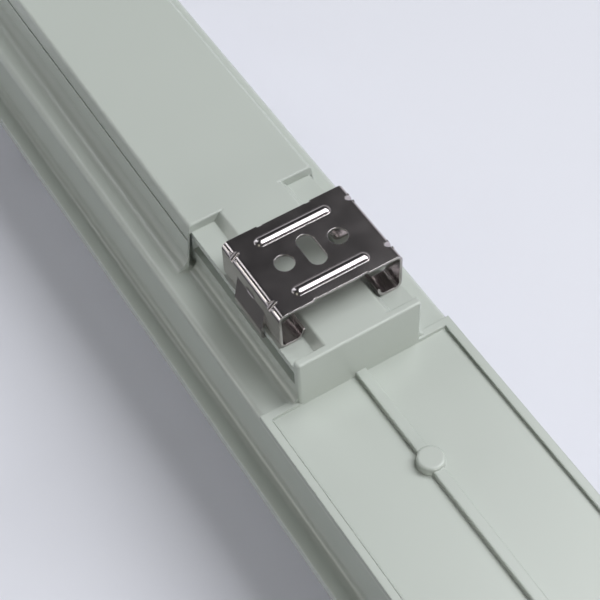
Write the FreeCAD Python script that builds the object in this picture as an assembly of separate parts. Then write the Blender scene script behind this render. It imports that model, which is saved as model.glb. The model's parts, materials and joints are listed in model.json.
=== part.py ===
import FreeCAD, Part
import math
import os

V = FreeCAD.Vector
X_AXIS, Y_AXIS, Z_AXIS = V(1, 0, 0), V(0, 1, 0), V(0, 0, 1)

# A sealed single-tube batten, in millimetres. The fitting lies as it is stored and fixed: flat face of
# the diffuser down at z = 0, moulded back up, long axis along X, origin in the middle of the flat face.

# Housing, a grey moulding open towards the diffuser
wall = 2.2                   # general wall of the moulding
body_width = 60.0            # over the side walls
body_corner = 9.0
channel_width = 4.0          # seal channel between the body's wall and the skirt, all the way round
flange_top = 39.0            # height of the flange's upper face
flange_thick = 2.0
flange_root_round = 2.6      # hollow round from the flange up to the wall
flange_edge_round = 0.5
skirt_depth = 4.0            # flange's turned-down edge, from its upper face
skirt_thick = 2.0
end_room = 38.0              # room for wiring between a lamp holder and the end wall
shoulder_top = 58.7          # shoulder beside the raised ends
shoulder_round = 2.4
panel_top = 58.0             # sunk panel between the two clip seats
rim_bead_top = 59.1          # raised bead round the panel
rim_bead_half = 29.84        # bead's outer edge
rim_bead_width = 2.4
back_top = 76.0              # flat of the raised ends

# Raised ends
raised_top_out = 0.6         # wall's upper corner, out from the seat's side
raised_foot_out = 2.4        # and its lower corner
crest_round = 1.2
foot_round = 5.0
raised_end_inset = 6.0       # raised end wall, in from the body's end wall
raised_corner = 8.0          # plan radius of the raised end
parting_drop = 6.0           # fine step round the raised wall, below the top
parting_step = 0.12

# Clip seat, measured from the clip's centre; towards the middle of the fitting counts positive
clip_station = 165.0         # clip centre from the fitting's middle
seat_far = 32.0              # far end of the pockets
seat_near = 23.4             # outer face of the seat's end wall
seat_half = 19.0             # half width of the seat block
seat_corner = 0.8
seat_edge_round = 0.6
pocket_depth = 3.0
pocket_reach = 7.2           # pocket's floor, in from the seat's side
pocket_lean = 2.2            # its inner wall leans back by this much
pocket_edge_round = 0.9      # round along a pocket's inner edge
pocket_end_round = 0.5       # and along its far end
end_core_depth = 5.0         # narrow core in the cut end of the raised wall, beside the seat
end_core_skin = 0.4          # outer skin that it leaves
groove_height = 5.2
groove_depth = 3.5
seat_foot_round = 3.6

# Panel details
rib_half = 1.65
rib_height = 1.8
rib_round = 0.4
gate_offset = 56.0           # moulding boss from the clip's centre
gate_radius = 3.8
gate_height = 2.9
gate_round = 0.8

# Mounting clip, folded stainless sheet
clip_length = 28.7
sheet = 0.8
clip_standoff = 10.5         # upper face of the plate above the raised back
clip_bend = 1.9              # outer bend radius
clip_side_gap = 0.25         # leg to the pocket's outer edge
slot_width = 5.0
slot_length = 11.0
clip_hole = 5.5
clip_hole_pitch = 8.2        # round hole from the slot's centre
clip_rib_offset = 9.4
clip_rib_length = 23.0
clip_rib_width = 3.4         # pressed rib where it leaves the plate
clip_rib_height = 0.8
nick_offset = 7.4            # edge nicks from the clip's centre line
nick_width = 1.8
nick_depth = 0.4
edge_relief = 0.25           # edge between the two nicks stands back by this much
dart_offset = 9.4            # pressed darts across each bend, from the clip's centre
dart_radius = 0.9
dart_depth = 0.9             # how far a dart sinks into the bend's corner
dimple_height = 5.4          # pressed oval on each leg, above the raised back
dimple_length = 4.4
dimple_width = 2.2
dimple_depth = 0.25
ear_length = 6.4             # each of the two outer ears on a side
ear_foot_gap = 0.05          # ear's foot over the pocket floor
toe_lap = 0.65               # turned-up end past the inner edge of the pocket's floor
ear_curl = 3.2               # outer radius of the turned-up end
ear_lip = 0.3                # straight end above the turn
ear_heel = 2.2               # outer radius from leg to foot
tongue_length = 13.6
tongue_clear = 0.3           # tongue to ledge
tongue_hook = 2.0            # hook's reach in past the ledge's edge
tongue_lean = 4.6            # tongue starts to lean outwards this far above the raised back
tongue_bend = 1.2            # outer radius where it turns into the groove

# Diffuser, an opal moulding
diffuser_wall = 2.0
diffuser_rim_inset = 0.8     # diffuser's rim, in from the housing's
diffuser_rim_thick = 2.0
rim_gap = 0.6                # housing skirt to diffuser rim
diffuser_side_out = 0.5      # its side under the rim, out from the housing's wall
diffuser_draft = 3.0         # how much a side draws in on the way down
diffuser_base_round = 11.0
diffuser_end_inset = 7.5     # outer end face, in from its rim's end
diffuser_corner = 12.0
tongue_width = 2.2           # upright bead that presses the gasket
gasket_thick = 1.6
gasket_side = 0.15

# Latches on the rim
latch_end_inset = 23.6       # middle of the end latches, in from the rim's end
latch_length = 15.6
latch_pin_radius = 1.0
latch_pin_stand = 2.2        # pin's centre out from the skirt
latch_pin_drop = 1.4         # pin's centre below the flange's upper face
latch_eye_gap = 0.08
latch_eye_turn = 290.0       # how far the sheet is rolled round the pin, in degrees
latch_hook = 7.6             # hook's reach inwards
latch_lift = 4.2             # thumb tab's reach outwards
latch_grip_gap = 0.2
latch_bend = 1.4             # outer bend radius
latch_tab_inset = 3.1        # tab narrower than the latch on each side
latch_tab_rise = 2.6         # tab's root above the hook
lug_thick = 2.4
lug_gap = 0.3
lug_round = 2.1
pin_fit = 0.03

# Gear tray, folded steel sheet
tray_sheet = 0.6
tray_side_gap = 1.4          # folded edge to the housing's wall
tray_beyond = 5.9            # tray's end past the lamp holder
tray_top = 37.4
tray_fold = 6.0
tray_bend = 1.0
tray_screw_inset = 5.4       # screws in from the folded edge
tray_screw_from_holder = 63.0
neck_hole_gap = 0.2          # tray's hole round a holder's neck
screw_shank = 1.45
screw_head = 3.2
screw_head_thick = 2.0
screw_head_round = 0.9
screw_length = 11.0          # shank above the tray
screw_hole_gap = 0.35
screw_cross_half = 1.8
screw_cross_width = 0.8
screw_cross_depth = 0.9
pilot_beyond = 1.0           # pilot hole deeper than the screw
boss_radius = 3.6

# Tube and its holders
tube_radius = 13.0
tube_axis_height = 19.0
tube_shell = 1.0
tube_length = 589.2          # between the end caps' outer faces
split_rise = 1.0             # cover and back meet this far above the tube's axis
cap_length = 14.0
cap_lap = 3.0                # how far the tube's shells enter an end cap
cap_thick = 2.0              # end face of the cap
cap_proud = 0.65             # cap stands out from the tube by this much
cap_fit = 0.1
cap_step = 2.2               # cap's deeper bore, in from the tube's outside
cap_round = 2.0
pin_pitch = 12.7
pin_radius = 1.15
pin_length = 7.1
pin_round = 0.6
platform_rise = 1.5          # board's seat above the tube's axis
platform_thick = 1.2
board_half = 6.0
board_thick = 1.2
board_end_gap = 2.0          # board's end to the end cap
chip_size = 2.8
chip_thick = 0.7
chip_count = 48
holder_gap = 0.5             # end cap to holder
holder_thick = 12.0
holder_half = 11.6
rotor_radius = 8.4
rotor_thick = 3.6
rotor_gap = 0.2
rotor_slot = 2.9
rotor_slot_end = 0.15        # slot runs on past the pin by this much
holder_cavity = 8.4          # depth of the holder's round cavity
entry_slot = 5.6
holder_neck_half = 8.0
holder_neck_height = 4.0
neck_inset = 1.5             # holder's neck thinner than its foot on each side
contact_thick = 0.5
contact_half = 2.1
contact_clear = 0.2          # contact blade to pin
contact_rotor_gap = 0.4      # contact blade to rotor

# Terminal block and leads
block_length = 17.0
block_half = 15.0
block_height = 14.0
block_to_holder = 24.6       # block's face to the lamp holder
block_round = 1.0
pole_pitch = 9.0
mouth_height = 5.6           # wire mouths above the tray
mouth_radius = 1.9
mouth_depth = 5.0
well_radius = 2.1
well_depth = 4.0
well_offset = 4.4
barrier_slot = 1.0
barrier_depth = 3.0
terminal_screw_radius = 1.9
terminal_screw_drop = 1.2    # screw's top below the block's
terminal_slot = 0.6
terminal_slot_depth = 0.7
wire_radius = 1.1
wire_pitch = 9.0             # between the two leads at the holder
wire_seat = 3.0              # lead inside the block and the holder
wire_gap = 0.15

# Cable entry
entry_rise = 3.4             # lowest point of the entry's boss above the flange
entry_boss_radius = 15.0
entry_boss_proud = 1.4       # boss face beyond the body's end wall
gland_thread = 9.9           # M20 thread as its outer radius
entry_fit = 0.25             # hole over thread, on the radius
gland_bore = 6.0
gland_hex = 24.0
gland_hex_thick = 5.0
washer_thick = 1.2
washer_radius = 13.0
locknut_thick = 4.5
locknut_hex = 24.0
thread_beyond = 2.0          # thread past the locknut
thread_fit = 0.05
collet_radius = 8.9
collet_length = 8.0
collet_fingers = 6
collet_slot = 1.0
collet_root = 2.5            # slots start this far from the hexagon
gland_nut_length = 15.0
gland_nut_grip = 9.0         # hexagonal stretch of the nut
gland_nut_round = 4.0
nut_gap = 0.3                # nut to the body's hexagon
nut_fit = 0.15               # nut's bore over the collet
cable_radius = 4.5
seal_radius = 6.6
seal_fit = 0.1
seal_length = 10.0
nut_mouth = 6.0
plug_head_radius = 12.5
plug_head_thick = 4.0
plug_head_round = 1.2
plug_slot = 2.0
plug_slot_depth = 1.6
plug_slot_half = 8.8
plug_wall = 2.2
plug_floor = 1.0

# Places worked out from the sizes above
cap_face = tube_length / 2
holder_face = cap_face + holder_gap
holder_back = holder_face + holder_thick
body_half = body_width / 2
body_end = holder_back + end_room + wall
rim_half = body_half + channel_width + skirt_thick
half_length = body_end + channel_width + skirt_thick
rim_corner = body_corner + channel_width + skirt_thick
raised_end = body_end - raised_end_inset
skirt_foot = flange_top - skirt_depth
pocket_floor = back_top - pocket_depth
groove_top = pocket_floor - wall
groove_floor = groove_top - groove_height
groove_back = seat_half - groove_depth
seat_near_x = clip_station - seat_near
seat_far_x = clip_station + seat_far
chamber_start = seat_far_x + end_core_depth + wall
gasket_top = flange_top - flange_thick
gasket_foot = gasket_top - gasket_thick
diffuser_rim_top = skirt_foot - rim_gap
diffuser_rim_foot = diffuser_rim_top - diffuser_rim_thick
diffuser_rim_half = rim_half - diffuser_rim_inset
diffuser_rim_end = half_length - diffuser_rim_inset
diffuser_top_half = body_half + diffuser_side_out
diffuser_waist_half = diffuser_top_half - diffuser_draft
clip_top = back_top + clip_standoff
clip_floor = pocket_floor + ear_foot_gap
clip_half = seat_half - clip_side_gap
raised_top_half = seat_half + raised_top_out
raised_foot_half = seat_half + raised_foot_out
wall_slope = (raised_foot_half - raised_top_half) / (back_top - shoulder_top)
pocket_inner_foot = seat_half - pocket_reach
pocket_inner_top = pocket_inner_foot - pocket_lean
entry_face = body_end + entry_boss_proud
entry_inner = raised_end - wall
gland_height = flange_top + entry_rise + entry_boss_radius
gland_face = entry_face + washer_thick
collet_end = gland_face + gland_hex_thick + collet_length
thread_end = entry_inner - locknut_thick - thread_beyond
latch_pin_y = rim_half + latch_pin_stand
latch_pin_z = flange_top - latch_pin_drop
latch_station = half_length - latch_end_inset
latch_stations = (-latch_station, 0.0, latch_station)
tray_foot = tray_top - tray_sheet
tray_half = body_half - wall - tray_side_gap
tray_end = holder_back + tray_beyond
tray_screw_x = holder_face - tray_screw_from_holder
tray_screw_y = tray_half - tray_screw_inset
block_station = holder_face - block_to_holder - block_length / 2


def rounded_outline(points, place):
    """Closed wire through (u, v, radius) corners, each rounded by a tangent arc; place maps (u, v) to 3D."""
    edges, count = [], len(points)
    joints = []
    for i, (u, v, radius) in enumerate(points):
        before, after = points[i - 1], points[(i + 1) % count]
        a = V(before[0] - u, before[1] - v, 0).normalize()
        b = V(after[0] - u, after[1] - v, 0).normalize()
        corner = V(u, v, 0)
        if radius <= 0:
            joints.append((corner, None, corner))
            continue
        half = a.getAngle(b) / 2
        reach = radius / math.tan(half)
        middle = corner + (a + b).normalize() * (radius / math.sin(half) - radius)
        joints.append((corner + a * reach, middle, corner + b * reach))
    for i, (start, middle, end) in enumerate(joints):
        if middle is not None:
            edges.append(Part.Arc(place(start), place(middle), place(end)).toShape())
        following = joints[(i + 1) % count][0]
        if (following - end).Length > 1e-6:
            edges.append(Part.LineSegment(place(end), place(following)).toShape())
    return Part.Wire(edges)


def prism_x(points, x0, x1):
    """Solid of a (y, z, radius) outline carried along X."""
    wire = rounded_outline(points, lambda p: V(x0, p.x, p.y))
    return Part.Face(wire).extrude(V(x1 - x0, 0, 0))


def prism_y(points, y0, y1):
    """Solid of an (x, z, radius) outline carried along Y."""
    wire = rounded_outline(points, lambda p: V(p.x, y0, p.y))
    return Part.Face(wire).extrude(V(0, y1 - y0, 0))


def prism_z(points, z0, z1):
    """Solid of an (x, y, radius) outline carried along Z."""
    wire = rounded_outline(points, lambda p: V(p.x, p.y, z0))
    return Part.Face(wire).extrude(V(0, 0, z1 - z0))


def rectangle(u0, u1, v0, v1, radius=0.0):
    return [(u0, v0, radius), (u1, v0, radius), (u1, v1, radius), (u0, v1, radius)]


def plate(half_x, half_y, z0, z1, radius):
    """Upright plate on the origin's axis with rounded plan corners."""
    return prism_z(rectangle(-half_x, half_x, -half_y, half_y, radius), z0, z1)


def block(x0, x1, y0, y1, z0, z1):
    return Part.makeBox(x1 - x0, y1 - y0, z1 - z0, V(x0, y0, z0))


def rod_x(radius, x0, x1, y, z):
    return Part.makeCylinder(radius, x1 - x0, V(x0, y, z), X_AXIS)


def rod_z(radius, z0, z1, x, y):
    return Part.makeCylinder(radius, z1 - z0, V(x, y, z0), Z_AXIS)


def mirror_x(shape):
    return shape.mirror(V(0, 0, 0), X_AXIS)


def mirror_y(shape):
    return shape.mirror(V(0, 0, 0), Y_AXIS)


def both_y(shape):
    return [shape, mirror_y(shape)]


def union(shapes):
    return shapes[0].multiFuse(shapes[1:]) if len(shapes) > 1 else shapes[0]


def hexagon_x(across, x0, x1, y, z):
    """Hexagonal prism along X, flats across the given distance."""
    radius = across / math.sqrt(3)
    points = [(y + radius * math.cos(k * math.pi / 3), z + radius * math.sin(k * math.pi / 3), 0)
              for k in range(6)]
    return prism_x(points, x0, x1)


# Housing

def wall_section(reach):
    """Raised wall in (outward, z): sloped wall, rounded crest, hollow foot; reach is its inner start."""
    foot = shoulder_top - 1.0
    slack = foot_round + 0.4
    return [(reach, foot, 0), (raised_foot_half + slack, foot, 0), (raised_foot_half + slack, shoulder_top, 0),
            (raised_foot_half, shoulder_top, foot_round), (raised_top_half, back_top, crest_round),
            (reach, back_top, 0)]


def raised_section():
    """Raised end on the +X side: straight walls, two rounded plan corners and the end wall."""
    inner = raised_foot_half - raised_corner
    straight_end = raised_end - raised_corner
    side = wall_section(0.0)
    straight = [prism_x(side, seat_far_x, straight_end)]
    straight.append(mirror_y(straight[0]))
    shift = raised_end - raised_foot_half
    end = prism_y([(u + shift, v, r) for u, v, r in wall_section(inner - raised_corner)], -inner, inner)
    corner_face = Part.Face(rounded_outline(wall_section(inner), lambda p: V(straight_end, p.x, p.y)))
    corner = corner_face.revolve(V(straight_end, inner, 0), Z_AXIS, -90)
    return union(straight + [end] + both_y(corner))


def wall_face(level):
    """Outer face of the raised wall at a height, from the middle."""
    return raised_top_half + wall_slope * (back_top - level)


def end_core():
    """Narrow core that hollows the cut end of the raised wall, between its outer skin and the seat."""
    low, high = shoulder_top + end_core_skin * 2, pocket_floor - end_core_skin
    points = [(seat_half, low, 0), (wall_face(low) - end_core_skin, low, 0),
              (wall_face(high) - end_core_skin, high, 0), (seat_half, high, 0)]
    return prism_x(points, seat_far_x - 1, seat_far_x + end_core_depth)


def parting_line():
    """Thin band round the raised end, from the fine step down, standing a hair proud of the wall."""
    level = back_top - parting_drop
    low = shoulder_top + foot_round
    points = [(0, level, 0), (wall_face(level) + parting_step, level, 0), (wall_face(low) + parting_step, low, 0),
              (0, low, 0)]
    band = prism_x(points, seat_far_x, raised_end - raised_corner)
    return both_y(band)


def seat_block():
    """Clip seat on the +X side before its pockets are cut."""
    plan = [(seat_near_x, -seat_half, seat_corner), (seat_far_x + wall, -seat_half, 0),
            (seat_far_x + wall, seat_half, 0), (seat_near_x, seat_half, seat_corner)]
    body = prism_z(plan, shoulder_top - 1.0, back_top)
    crest = [e for e in body.Edges
             if all(abs(v.Z - back_top) < 1e-6 and v.X < seat_near_x + seat_corner + 0.01 for v in e.Vertexes)]
    body = body.makeFillet(seat_edge_round, crest)
    foot = [(seat_half - 1, shoulder_top - 1, 0), (seat_half + seat_foot_round + 0.3, shoulder_top - 1, 0),
            (seat_half + seat_foot_round + 0.3, shoulder_top, 0), (seat_half, shoulder_top, seat_foot_round),
            (seat_half, shoulder_top + seat_foot_round + 0.4, 0),
            (seat_half - 1, shoulder_top + seat_foot_round + 0.4, 0)]
    return union([body] + both_y(prism_x(foot, seat_near_x + seat_corner, seat_far_x + wall)))


def seat_cuts():
    """Two pockets with sloped inner walls, the undercut grooves below their ledges and the end cores."""
    x0, x1 = seat_near_x + wall, seat_far_x
    over = 3.0
    lean = (pocket_inner_foot - pocket_inner_top) / pocket_depth
    tip = pocket_inner_top - over * lean
    section = [(pocket_inner_foot, pocket_floor, 0), (seat_half + over, pocket_floor, 0),
               (seat_half + over, back_top + over, 0), (tip, back_top + over, 0)]
    pocket = union([prism_x(section, x0, x1), mouth_round(x0, x1)])
    groove = block(x0, x1, groove_back, seat_half + over, groove_floor, groove_top)
    return both_y(pocket) + both_y(groove) + both_y(end_core()) + both_y(far_edge_round())


def far_edge_round():
    """What the rounded upper edge of a pocket's far end takes away."""
    x, z = seat_far_x + pocket_end_round, back_top - pocket_end_round
    y0, y1 = pocket_inner_top - pocket_edge_round, raised_foot_half
    corner = block(seat_far_x - 0.001, x, y0, y1, z, back_top + 1)
    return corner.cut(Part.makeCylinder(pocket_end_round, y1 - y0, V(x, y0, z), Y_AXIS))


def mouth_round(x0, x1):
    """What the rounded inner edge of a pocket takes away besides the pocket itself."""
    lean = math.atan2(pocket_inner_foot - pocket_inner_top, pocket_depth)
    reach = pocket_edge_round * math.tan((math.pi / 2 - lean) / 2)
    y, z = pocket_inner_top - reach, back_top - pocket_edge_round
    corner = prism_x([(y, back_top - 0.001, 0), (y, back_top + 1, 0), (seat_half, back_top + 1, 0),
                      (seat_half, z + pocket_edge_round * math.sin(lean), 0),
                      (y + pocket_edge_round * math.cos(lean), z + pocket_edge_round * math.sin(lean), 0)],
                     x0, x1)
    return corner.cut(rod_x(pocket_edge_round, x0 - 1, x1 + 1, y, z))


def housing_outside():
    body = plate(body_end, body_half, skirt_foot, shoulder_top, body_corner)
    top_edges = [e for e in body.Edges if all(abs(v.Z - shoulder_top) < 1e-6 for v in e.Vertexes)]
    body = body.makeFillet(shoulder_round, top_edges)
    bead_end = seat_near_x + rim_bead_width
    bead = block(-bead_end, bead_end, -rim_bead_half, rim_bead_half, panel_top - 3.0, rim_bead_top)
    flange = plate(half_length, rim_half, skirt_foot, flange_top, rim_corner)
    upper = [e for e in flange.Edges if all(abs(v.Z - flange_top) < 1e-6 for v in e.Vertexes)]
    flange = flange.makeFillet(flange_edge_round, upper)
    pad_half, pad_end = rim_half - skirt_thick, half_length - skirt_thick
    channel = plate(pad_end, pad_half, skirt_foot - 1, flange_top - flange_thick, rim_corner - skirt_thick)
    shell = union([flange, body])
    root = [e for e in shell.Edges if all(abs(v.Z - flange_top) < 1e-6 for v in e.Vertexes)
            and max(abs(e.CenterOfMass.x) - body_end, abs(e.CenterOfMass.y) - body_half) < 0.01]
    shell = union([shell.makeFillet(flange_root_round, root).cut(channel), body, bead])
    recess_half = rim_bead_half - rim_bead_width
    shell = shell.cut(block(-seat_near_x, seat_near_x, -recess_half, recess_half, panel_top, back_top))
    ends = []
    top = union([raised_section(), seat_block()] + parting_line()).cut(Part.makeCompound(seat_cuts()))
    ends += [top, mirror_x(top)]
    entry = rod_x(entry_boss_radius, entry_inner, entry_face, 0, gland_height)
    return union([shell] + ends + [entry, mirror_x(entry)])


def housing_hollow():
    """What is taken out of the inside: the main chamber, the raised ends and the stepped seat cores."""
    body_in, end_in = body_half - wall, body_end - wall
    main = plate(end_in, body_in, skirt_foot - 1, panel_top - wall, body_corner - wall)
    low = panel_top - wall - 1.0
    foot_in, top_in = wall_face(low) - wall, wall_face(back_top - wall) - wall
    chamber = prism_x([(-foot_in, low, 0), (foot_in, low, 0), (top_in, back_top - wall, 1.5),
                       (-top_in, back_top - wall, 1.5)], chamber_start, entry_inner)
    cores = [block(seat_near_x + wall, chamber_start + 0.1, -half, half, low, top)
             for half, top in ((seat_half - wall, groove_floor - wall), (groove_back - wall, pocket_floor - wall),
                               (pocket_inner_top - wall, back_top - wall))]
    shapes = [main]
    for shape in [chamber] + cores:
        shapes += [shape, mirror_x(shape)]
    return union(shapes)


def panel_details():
    rib = block(-seat_near_x - 1, seat_near_x + 1, -rib_half, rib_half, panel_top - 1, panel_top + rib_height)
    edges = [e for e in rib.Edges if e.Length > seat_near_x and e.CenterOfMass.z > panel_top]
    rib = rib.makeFillet(rib_round, edges)
    station = clip_station - gate_offset
    gate = rod_z(gate_radius, panel_top - 1, panel_top + gate_height, station, 0)
    rim = [e for e in gate.Edges if abs(e.CenterOfMass.z - panel_top - gate_height) < 1e-6
           and isinstance(e.Curve, Part.Circle)]
    gate = gate.makeFillet(gate_round, rim)
    return [rib, gate, mirror_x(gate)]


def tray_bosses():
    """Four bosses under the shoulders, each with a pilot hole for a tray screw."""
    posts, holes = [], []
    for sx in (-1, 1):
        for sy in (-1, 1):
            x, y = sx * tray_screw_x, sy * tray_screw_y
            posts.append(rod_z(boss_radius, tray_top, panel_top - wall + 0.5, x, y))
            holes.append(rod_z(screw_shank, tray_top - 1, tray_top + screw_length + pilot_beyond, x, y))
    return posts, holes


def latch_lugs():
    """Two ears beside each latch, standing out from the skirt round the latch pin."""
    lugs = []
    inner = latch_length / 2 + lug_gap
    for station in latch_stations:
        for side in (-1, 1):
            start = station + side * inner if side > 0 else station - inner - lug_thick
            arm = block(start, start + lug_thick, rim_half - 0.5, latch_pin_y, latch_pin_z - lug_round,
                        latch_pin_z + lug_round)
            ear = union([arm, rod_x(lug_round, start, start + lug_thick, latch_pin_y, latch_pin_z)])
            hole = rod_x(latch_pin_radius + pin_fit, start - 1, start + lug_thick + 1, latch_pin_y, latch_pin_z)
            lugs += both_y(ear.cut(hole))
    return lugs


def housing():
    posts, holes = tray_bosses()
    shell = housing_outside().cut(housing_hollow())
    entry_core = rod_x(entry_boss_radius, entry_inner, body_end - wall + 0.5, 0, gland_height)
    shell = union([shell] + panel_details() + posts + latch_lugs() + [entry_core, mirror_x(entry_core)])
    bore = rod_x(gland_thread + entry_fit, entry_inner - 1, entry_face + 1, 0, gland_height)
    return shell.cut(Part.makeCompound(holes + [bore, mirror_x(bore)]))


# Seal and diffuser

def ring(outer_x, outer_y, inner_x, inner_y, z0, z1, outer_corner, inner_corner):
    return plate(outer_x, outer_y, z0, z1, outer_corner).cut(
        plate(inner_x, inner_y, z0 - 1, z1 + 1, inner_corner))


def housing_gasket():
    out_half = rim_half - skirt_thick - gasket_side
    in_half = body_half + gasket_side
    return ring(half_length - skirt_thick - gasket_side, out_half, body_end + gasket_side, in_half,
                gasket_foot, gasket_top, rim_corner - skirt_thick - gasket_side, body_corner + gasket_side)


def trough(inset, floor):
    """Diffuser's bowl, drawn in by an inset: straight sloped sides, wide bottom radius, sloped ends."""
    top = diffuser_rim_top + 1.0
    base_round = diffuser_base_round - inset
    y_top, y_low = diffuser_top_half - inset, diffuser_waist_half - inset
    lean = (y_top - y_low) / diffuser_rim_top * 1.0
    side = [(-y_top - lean, top, 0), (-y_low, floor, base_round), (y_low, floor, base_round),
            (y_top + lean, top, 0)]
    end = diffuser_rim_end - diffuser_end_inset - inset
    length = [(-end, top, 0), (-end + lean * 3, floor, base_round), (end - lean * 3, floor, base_round),
              (end, top, 0)]
    reach = diffuser_rim_end
    return prism_x(side, -reach, reach).common(prism_y(length, -rim_half, rim_half)).common(
        plate(end + 0.01, y_top + lean, floor - 1, top + 1, diffuser_corner - inset))


def diffuser():
    outer = trough(0.0, 0.0)
    inner = trough(diffuser_wall, diffuser_wall)
    rim_plate = plate(diffuser_rim_end, diffuser_rim_half, diffuser_rim_foot, diffuser_rim_top,
                      rim_corner - diffuser_rim_inset)
    lid = block(-half_length, half_length, -rim_half, rim_half, diffuser_rim_top, back_top)
    middle = (body_half + rim_half - skirt_thick) / 2
    offset = middle - body_half
    bead = ring(body_end + offset + tongue_width / 2, middle + tongue_width / 2,
                body_end + offset - tongue_width / 2, middle - tongue_width / 2,
                diffuser_rim_top - 0.5, gasket_foot, body_corner + offset + tongue_width / 2,
                body_corner + offset - tongue_width / 2)
    bowl = union([outer.cut(lid), rim_plate])
    return union([bowl.cut(inner), bead])


# Latches

def latch(station, side):
    """Sheet latch: rolled eye round the pin, leg, hook under the diffuser's rim and a thumb tab."""
    x0, x1 = station - latch_length / 2, station + latch_length / 2
    y, z = latch_pin_y, latch_pin_z
    eye_in = latch_pin_radius + latch_eye_gap
    eye_out = eye_in + sheet
    hook_top = diffuser_rim_foot - latch_grip_gap
    leg_out = y + eye_out
    strip = [(leg_out - latch_hook, hook_top - sheet, 0), (leg_out, hook_top - sheet, latch_bend),
             (leg_out, z, 0)]
    turn = math.radians(latch_eye_turn)

    def rolled(radius, angle):
        return V(x0, y + radius * math.cos(angle), z + radius * math.sin(angle))

    eye = Part.Wire([Part.Arc(rolled(eye_out, 0), rolled(eye_out, turn / 2), rolled(eye_out, turn)).toShape(),
                     Part.LineSegment(rolled(eye_out, turn), rolled(eye_in, turn)).toShape(),
                     Part.Arc(rolled(eye_in, turn), rolled(eye_in, turn / 2), rolled(eye_in, 0)).toShape(),
                     Part.LineSegment(rolled(eye_in, 0), rolled(eye_out, 0)).toShape()])
    roll = Part.Face(eye).extrude(V(x1 - x0, 0, 0))
    tab = [(leg_out - sheet, hook_top + latch_tab_rise, 0), (leg_out + latch_lift, hook_top - latch_tab_rise / 2, 0)]
    thumb = sheet_strip(tab, sheet, x0 + latch_tab_inset, x1 - latch_tab_inset)
    shape = union([roll, sheet_strip(strip, sheet, x0, x1), thumb])
    return shape if side > 0 else mirror_y(shape)


def latch_pins():
    pins = []
    reach = latch_length / 2 + lug_gap + lug_thick
    for station in latch_stations:
        pins += both_y(rod_x(latch_pin_radius, station - reach, station + reach, latch_pin_y, latch_pin_z))
    return Part.makeCompound(pins)


# Mounting clip

def sheet_strip(points, thick, x0, x1):
    """Bent sheet of even thickness: (y, z, outer bend radius) along its outer face, carried along X."""
    outer = [(u, v, r) for u, v, r in points]
    inner = []
    count = len(points)
    for i, (u, v, r) in enumerate(points):
        here = V(u, v, 0)
        sides = []
        if i > 0:
            sides.append((here - V(points[i - 1][0], points[i - 1][1], 0)).normalize())
        if i < count - 1:
            sides.append((V(points[i + 1][0], points[i + 1][1], 0) - here).normalize())
        normals = [V(-d.y, d.x, 0) for d in sides]
        if len(normals) == 1:
            shifted = here + normals[0] * thick
        else:
            mean = (normals[0] + normals[1]).normalize()
            shifted = here + mean * (thick / mean.dot(normals[0]))
        inner.append((shifted.x, shifted.y, max(r - thick, 0.0) if r > 0 else 0.0))
    return prism_x(outer + inner[::-1], x0, x1)


def clip_ear(x0, x1):
    """Ear on the +Y side: foot inwards from the leg, on the pocket's floor, its end curled up."""
    leg = clip_half
    toe = pocket_inner_foot - toe_lap
    points = [(leg, clip_floor + ear_heel, 0), (leg, clip_floor, ear_heel - 0.01), (toe, clip_floor, ear_curl),
              (toe, clip_floor + ear_curl + ear_lip, 0)]
    return sheet_strip(points[::-1], sheet, x0, x1)


def clip_tongue(x0, x1):
    """Middle of the leg on the +Y side: leans out past the ledge and hooks into the groove beneath it."""
    leg = clip_half
    out = seat_half + tongue_clear + sheet
    hook_low = groove_top - tongue_clear - sheet
    points = [(leg, back_top + tongue_lean + 0.5, 0), (leg, back_top + tongue_lean, 6.0), (out, pocket_floor, 4.0),
              (out, hook_low, tongue_bend), (seat_half - tongue_hook, hook_low, 0)]
    return sheet_strip(points[::-1], sheet, x0, x1)


def clip_leg():
    """Leg on the +Y side from the plate's edge down: whole to the tongue's root, then three strips."""
    half_x, half_y = clip_length / 2, clip_half
    root = back_top + tongue_lean + 0.4
    bend = [(half_y - clip_bend - 0.5, clip_top, 0), (half_y, clip_top, clip_bend), (half_y, root, 0)]
    shapes = [sheet_strip(bend[::-1], sheet, -half_x, half_x), clip_tongue(-tongue_length / 2, tongue_length / 2)]
    for start, end in ((tongue_length / 2 - 0.01, half_x), (-half_x, 0.01 - tongue_length / 2)):
        shapes.append(block(start, end, half_y - sheet, half_y, clip_floor + ear_heel, root))
    for start in (half_x - ear_length, -half_x):
        shapes.append(clip_ear(start, start + ear_length))
    return union(shapes)


def stadium(length, width, z0, z1):
    """Upright plug with round ends, along Y."""
    radius = width / 2
    reach = length / 2 - radius
    return union([block(-radius, radius, -reach, reach, z0, z1), rod_z(radius, z0, z1, 0, reach),
                  rod_z(radius, z0, z1, 0, -reach)])


def capsule(radius, reach, middle, axis):
    """Rod with round ends, its ends' centres a reach either side of its middle."""
    form = Part.makeCylinder(radius, 2 * reach, middle - axis * reach, axis)
    return union([form] + [Part.makeSphere(radius, middle + axis * reach * side) for side in (-1, 1)])


def crown_radius(width, height):
    """Radius of the arc that rises by a height over a chord of a width."""
    return (height ** 2 + (width / 2) ** 2) / (2 * height)


def rib_form(inset):
    """Pressed rib's round crest along Y, its radius reduced by an inset; centre on the clip's middle."""
    radius = crown_radius(clip_rib_width, clip_rib_height)
    middle = V(0, 0, clip_top + clip_rib_height - radius)
    return capsule(radius - inset, clip_rib_length / 2 - clip_rib_width / 2, middle, Y_AXIS)


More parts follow.
